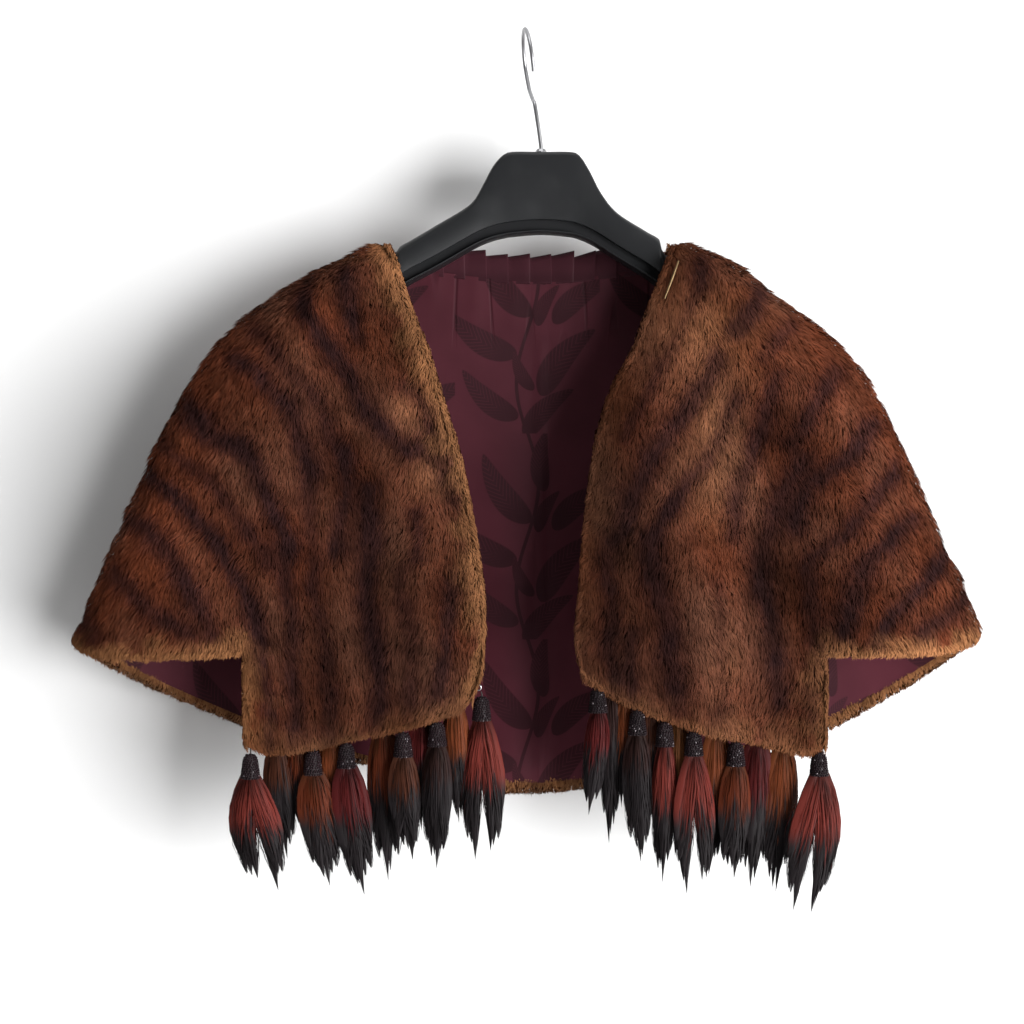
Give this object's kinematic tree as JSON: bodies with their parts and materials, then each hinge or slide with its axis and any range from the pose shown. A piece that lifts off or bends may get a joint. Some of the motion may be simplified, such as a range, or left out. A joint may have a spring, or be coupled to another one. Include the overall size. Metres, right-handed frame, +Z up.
{
  "type": "fur stole on a coat hanger",
  "caption": "Short open-fronted fur stole with wing sleeves, satin lining, neck ruffle and a fringe of dyed tails in beaded caps, hung on a wide black hanger.",
  "frame": {"origin": "inside of the hook's crown, where a rail or peg holds it", "axes": "+X to the viewer's right along the hanger, -Y out of the open front, +Z up"},
  "size_m": [0.728, 0.101, 0.6952],
  "materials": {
    "fur": "sheared brown fur, golden to rust with darker red-brown stripes, soft nap",
    "lining": "maroon satin with a darker self-coloured plume and leaf figure",
    "hanger_plastic": "satin black moulded plastic",
    "hook_wire": "bright plated steel wire",
    "gilt_bar": "worn gilt",
    "cap_beads": "dark glassy beadwork",
    "red_tail": "dyed red hair turning black at the tip",
    "brown_tail": "orange-brown hair turning black at the tip"
  },
  "bodies": {
    "root": {"corner_ring": "hook_wire", "fur_back": "fur", "fur_front_left": "fur", "fur_front_right": "fur", "fur_sleeve_left": "fur", "fur_sleeve_right": "fur", "hanger_body": "hanger_plastic", "hanger_hook": "hook_wire", "hook_ferrule": "hook_wire", "lining_back": "lining", "lining_front_left": "lining", "lining_front_right": "lining", "lining_sleeve_left": "lining", "lining_sleeve_right": "lining", "neck_hook_bar": "gilt_bar", "neck_ruffle": "lining", "plain_tail_left_1": "brown_tail", "plain_tail_left_2": "brown_tail", "plain_tail_left_3": "brown_tail", "plain_tail_left_4": "brown_tail", "plain_tail_left_5": "brown_tail", "plain_tail_left_6": "brown_tail", "plain_tail_right_1": "brown_tail", "plain_tail_right_2": "brown_tail", "plain_tail_right_3": "brown_tail", "plain_tail_right_4": "brown_tail", "plain_tail_right_5": "brown_tail", "plain_tail_right_6": "brown_tail", "plain_tail_right_7": "brown_tail", "tassel_left_1_cap": "cap_beads", "tassel_left_1_tail": "red_tail", "tassel_left_2_cap": "cap_beads", "tassel_left_2_tail": "red_tail", "tassel_left_3_cap": "cap_beads", "tassel_left_3_tail": "red_tail", "tassel_left_4_cap": "cap_beads", "tassel_left_4_tail": "red_tail", "tassel_left_5_cap": "cap_beads", "tassel_left_5_tail": "red_tail", "tassel_left_6_cap": "cap_beads", "tassel_left_6_tail": "red_tail", "tassel_right_1_cap": "cap_beads", "tassel_right_1_tail": "red_tail", "tassel_right_2_cap": "cap_beads", "tassel_right_2_tail": "red_tail", "tassel_right_3_cap": "cap_beads", "tassel_right_3_tail": "red_tail", "tassel_right_4_cap": "cap_beads", "tassel_right_4_tail": "red_tail", "tassel_right_5_cap": "cap_beads", "tassel_right_5_tail": "red_tail", "tassel_right_6_cap": "cap_beads", "tassel_right_6_tail": "red_tail"}
  },
  "joints": []
}
